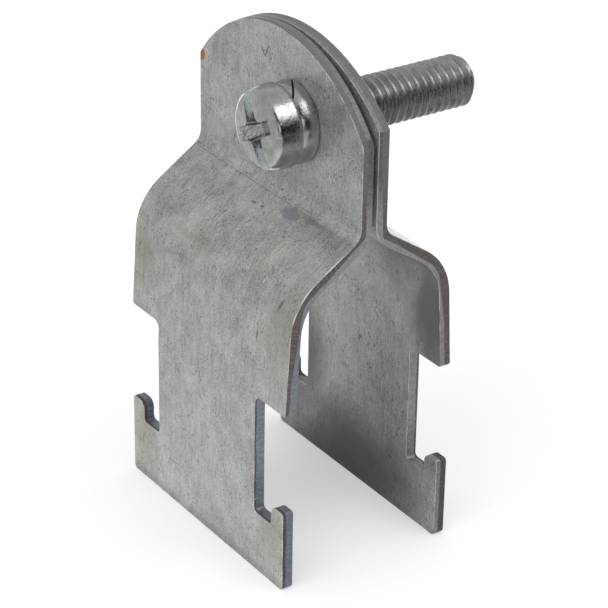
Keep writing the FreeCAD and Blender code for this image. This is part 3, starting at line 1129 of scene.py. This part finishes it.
def cutter(name, width, span, depth, foot_width, foot_span):
    """A tapered block, wide at the head's face and narrow at its floor."""
    bpy.ops.mesh.primitive_cube_add(size=1)
    block = bpy.context.object
    block.name = name
    block.scale = (width, depth, span)
    settle(block, (0, HEAD_FACE + depth / 2, 0))
    select_parts(block, "FACE", lambda face: face.normal.y > 0.9)
    shrink = (foot_width / width, 1, foot_span / span)
    bpy.ops.transform.resize(value=shrink, center_override=(0, HEAD_FACE + depth, 0))
    select_parts(block, "FACE", lambda face: face.normal.y < -0.9)
    bpy.ops.mesh.extrude_region_move(TRANSFORM_OT_translate={"value": (0, -CUTTER_REACH, 0)})
    grow = (
        1 + (width - foot_width) / depth * CUTTER_REACH / width,
        1,
        1 + (span - foot_span) / depth * CUTTER_REACH / span,
    )
    bpy.ops.transform.resize(value=grow, center_override=(0, HEAD_FACE - CUTTER_REACH, 0))
    end_edit()
    return block


def combine(piece, block, operation):
    """Joins a block to a piece or takes it out, and throws the block away."""
    work_on(piece)
    boolean = piece.modifiers.new("combine", "BOOLEAN")
    boolean.operation = operation
    boolean.solver = "EXACT"
    boolean.object = block
    bpy.ops.object.modifier_apply(modifier="combine")
    bpy.data.objects.remove(block)


def lobe_corner(edge):
    """True for an edge where a wall of the slot meets one of the level arm."""
    ends = [recess.data.vertices[index].co for index in edge.vertices]
    aside = max(abs(end.x) for end in ends) < SLOT_WIDTH / 2 + TOLERANCE
    upright = max(abs(end.z) for end in ends) < CROSS_WIDTH
    return aside and upright and abs(ends[0].y - ends[1].y) > SLOT_DEPTH / 2


recess = cutter("recess", SLOT_WIDTH, 12 * MM, SLOT_DEPTH, SLOT_WIDTH, 12 * MM)
for turn in (0, math.pi / 2):
    arm = cutter("arm", CROSS_WIDTH, CROSS_SPAN, CROSS_DEPTH, CROSS_FOOT_WIDTH, CROSS_FOOT_SPAN)
    arm.rotation_euler.y = turn
    settle(arm)
    combine(recess, arm, "UNION")
print("lobe corners:", select_parts(recess, "EDGE", lobe_corner))
bpy.ops.mesh.bevel(offset=LOBE_CORNER, segments=8, affect="EDGES")
end_edit()
recess.rotation_euler.y = -RECESS_TURN
settle(recess)
combine(head, recess, "DIFFERENCE")
print("head with its recess:", len(head.data.polygons), "faces")

# %% [markdown]
# The thread. One pitch of its outline, from root over the crest to the next root, is drawn as a
# chain of edges. The Screw modifier turns it about the axis and moves it on by one pitch each turn.
# Two straight cuts close the ends, and the tip is turned down to a chamfer.

# %% Thread
THREAD_STEPS = 60
THREAD_OUTLINE = (
    (0.0, 0.0),
    (0.08, 0.0),
    (0.13, 0.06),
    (0.37, 0.9),
    (0.42, 1.0),
    (0.56, 1.0),
    (0.61, 0.9),
    (0.86, 0.06),
    (0.92, 0.0),
    (1.0, 0.0),
)


def thread_outline_mesh():
    """One pitch of the thread's outline as a chain of edges beside the axis."""
    points = []
    for share, rise in THREAD_OUTLINE:
        radius = MINOR_R + (MAJOR_R - MINOR_R) * rise
        points.append((radius, HEAD_SEAT - PITCH + share * PITCH, 0))
    chain = [(number, number + 1) for number in range(len(points) - 1)]
    mesh = bpy.data.meshes.new("thread_outline")
    mesh.from_pydata(points, chain, [])
    return mesh


def merge_and_face_outward():
    """Merges doubled points of the piece being edited, turns its faces outward and ends the edit."""
    bpy.ops.mesh.remove_doubles(threshold=0.000001)
    bpy.ops.mesh.normals_make_consistent(inside=False)
    end_edit()


def cut_square(piece, height, keep_above):
    """Cuts a piece square across its axis and closes the cut."""
    edit_whole(piece)
    bpy.ops.mesh.bisect(
        plane_co=(0, height, 0),
        plane_no=(0, 1, 0),
        use_fill=True,
        threshold=0.0000001,
        clear_inner=keep_above,
        clear_outer=not keep_above,
    )
    end_edit()


shank = bpy.data.objects.new("shank", thread_outline_mesh())
bpy.context.scene.collection.objects.link(shank)
work_on(shank)
winding = shank.modifiers.new("winding", "SCREW")
winding.axis = "Y"
winding.angle = 2 * math.pi
winding.screw_offset = PITCH
winding.iterations = int(SCREW_LENGTH / PITCH) + 3
winding.steps = THREAD_STEPS
winding.render_steps = THREAD_STEPS
winding.use_merge_vertices = True
winding.merge_threshold = 0.000001
bpy.ops.object.modifier_apply(modifier="winding")
cut_square(shank, HEAD_SEAT - 0.3 * MM, True)
cut_square(shank, SCREW_TIP, False)
for vertex in shank.data.vertices:
    radius = math.hypot(vertex.co.x, vertex.co.z)
    allowed = MAJOR_R - max(0.0, vertex.co.y - (SCREW_TIP - TIP_CHAMFER))
    if radius > allowed:
        vertex.co.x *= allowed / radius
        vertex.co.z *= allowed / radius
edit_whole(shank)
merge_and_face_outward()
print("thread faces:", len(shank.data.polygons))

# %% [markdown]
# The walls and the floor of the slot get a much brighter zinc than the face round them: a
# painted highlight for the light they mirror. They are found by their place, turned back to the
# recess's own directions, and get their own material before the head and the shank are joined.

# %% Finish the screw
def in_slot(face):
    """True for a wall or a floor of the slot."""
    across = face.center.x * math.cos(RECESS_TURN) + face.center.z * math.sin(RECESS_TURN)
    lengthways = Vector((-math.sin(RECESS_TURN), 0, math.cos(RECESS_TURN)))
    inside = HEAD_FACE + 2 * TOLERANCE < face.center.y < HEAD_FACE + SLOT_DEPTH + TOLERANCE
    along_slot = abs(face.normal.dot(lengthways)) < 0.5
    return inside and along_slot and abs(across) < SLOT_WIDTH / 2 + TOLERANCE


head.data.materials.append(head_zinc)
head.data.materials.append(recess_painted_highlight)
slot_faces = [face for face in head.data.polygons if in_slot(face)]
for face in slot_faces:
    face.material_index = 1
print("slot faces:", len(slot_faces))
shank.data.materials.append(thread_zinc)
work_on(head)
shank.select_set(True)
bpy.ops.object.join()
settle(head, SCREW_AXIS)
shade_flats_flat(head, 35)
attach(head, "screw")
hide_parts("screw")
print("screw materials:", [slot.name for slot in head.material_slots])

# %% [markdown]
# The spring washer is a thick square wire coiled once and cut off, so it is spun: a flat plate the
# size of the wire's section gets rounded corners, is turned almost all the way round the axis,
# and its two ends are pulled askew to make the slanting split. Rolling made the wire's outer side
# bulge and taper a little, so its rounding is pressed flat until it is only a shallow barrel and
# is drawn in towards the front.

# %% Spring washer
WASHER_R = 4.75 * MM
WASHER_BORE = 3.08 * MM
WASHER_THICK = 2.16 * MM
WASHER_FRONT = -3.86 * MM
WASHER_ROUND = 1.07 * MM
WASHER_BULGE = 0.4 * MM
WASHER_TAPER = 0.42 * MM
BORE_ROUND = 0.2 * MM
SPLIT_GAP = 0.36 * MM
SPLIT_ANGLE = math.radians(80)
SPLIT_LEAN = math.radians(58)
SPLIT_SPREAD = 1.7
WASHER_STEPS = 120

washer_middle_r = (WASHER_R + WASHER_BORE) / 2
washer_middle_y = WASHER_FRONT + WASHER_THICK / 2
bpy.ops.mesh.primitive_plane_add(size=1)
washer = bpy.context.object
washer.name = "washer_zinc"
washer.scale = (WASHER_R - WASHER_BORE, WASHER_THICK, 1)
settle(washer, (washer_middle_r, washer_middle_y, 0))


def round_corners(piece, wanted, radius, segments):
    """Rounds the corners of a flat plate that a test picks."""
    select_parts(piece, "VERT", lambda vertex: wanted(vertex.co))
    bpy.ops.mesh.bevel(offset=radius, segments=segments, affect="VERTICES")
    end_edit()


round_corners(washer, lambda co: co.x > washer_middle_r, WASHER_ROUND, 12)
round_corners(washer, lambda co: co.x < WASHER_BORE + 1e-6, BORE_ROUND, 4)
for vertex in washer.data.vertices:
    inward = WASHER_R - vertex.co.x
    if inward < WASHER_ROUND:
        forward = (WASHER_FRONT + WASHER_THICK - vertex.co.y) / WASHER_THICK
        vertex.co.x = WASHER_R - inward * WASHER_BULGE / WASHER_ROUND - forward * WASHER_TAPER
half_gap = SPLIT_GAP / 2 / washer_middle_r
edit_whole(washer)
bpy.ops.mesh.spin(
    steps=WASHER_STEPS, angle=2 * math.pi - 2 * half_gap, center=(0, 0, 0), axis=(0, 1, 0)
)
bpy.ops.mesh.select_all(action="SELECT")
merge_and_face_outward()
print("washer faces:", len(washer.data.polygons))

# %% [markdown]
# The split is cut very slantwise. The two end faces are the only ones with more than four corners,
# and the middle of the split lies between them. Every point near the split is turned about the
# axis by how far it lies from the middle of the thickness, less and less away from the split, so
# both ends slant the same way. Then the ring is turned until the split is near the top.

# %% Lean the split
def ring_angle(co):
    """The angle of a point round the washer's axis, from the right up over the top."""
    return math.atan2(co.z, co.x)


def lean_ends(piece):
    """Slants the split, and gives the number of points moved and the middle of the split."""
    mesh = piece.data
    corners = {i for face in mesh.polygons if len(face.vertices) > 4 for i in face.vertices}
    angles = [ring_angle(mesh.vertices[index].co) for index in corners]
    gap_angle = math.atan2(sum(map(math.sin, angles)), sum(map(math.cos, angles)))
    moved = 0
    for vertex in mesh.vertices:
        co = vertex.co
        angle = ring_angle(co)
        away = abs(math.remainder(angle - gap_angle, 2 * math.pi))
        share = max(0.0, 1 - away / SPLIT_SPREAD)
        lean = (co.y - washer_middle_y) * math.tan(SPLIT_LEAN) / washer_middle_r
        radius = math.hypot(co.x, co.z)
        co.x = radius * math.cos(angle + lean * share)
        co.z = radius * math.sin(angle + lean * share)
        moved += share > 0
    return moved, gap_angle


moved, gap_angle = lean_ends(washer)
washer.rotation_euler.y = gap_angle - SPLIT_ANGLE
settle(washer, SCREW_AXIS)
shade_flats_flat(washer, 35)
washer.data.materials.append(washer_zinc)
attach(washer, "washer")
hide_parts("spring_washer")
print("points moved for the split:", moved)
